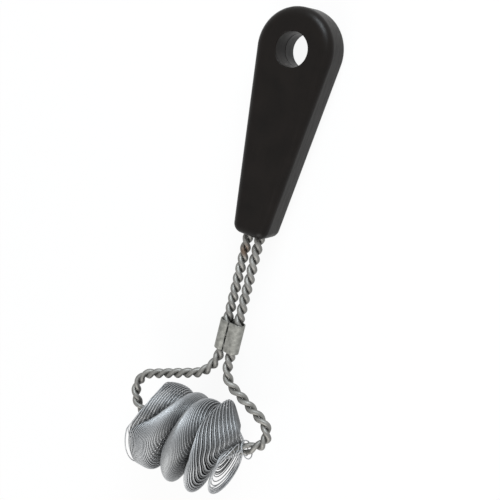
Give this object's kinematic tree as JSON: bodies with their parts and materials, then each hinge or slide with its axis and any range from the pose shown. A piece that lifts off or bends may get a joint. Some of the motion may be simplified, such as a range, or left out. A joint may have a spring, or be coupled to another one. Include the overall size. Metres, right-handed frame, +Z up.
{
  "type": "bristle-free grill brush",
  "caption": "Grill brush without bristles: a tapered handle with a hang hole, a twisted wire frame, a crimped ferrule and a fine wire scrubbing coil.",
  "frame": {"origin": "on the table, under the middle of the brush's box as it lies on its back", "axes": "+Y from the scrubbing head towards the hang hole, +X across the head to the right, +Z up from the table"},
  "size_m": [0.0892, 0.259, 0.0492],
  "materials": {
    "black_plastic": "black moulded plastic, satin, softly worn",
    "galvanised_wire": "galvanised steel wire, dull grey",
    "galvanised_sheet": "galvanised sheet, mottled satin",
    "bright_wire": "fine drawn steel wire, bright"
  },
  "bodies": {
    "root": {"handle": "black_plastic", "frame_wire_a": "galvanised_wire", "frame_wire_b": "galvanised_wire", "ferrule": "galvanised_sheet", "scrub_coil": "bright_wire"}
  },
  "joints": []
}
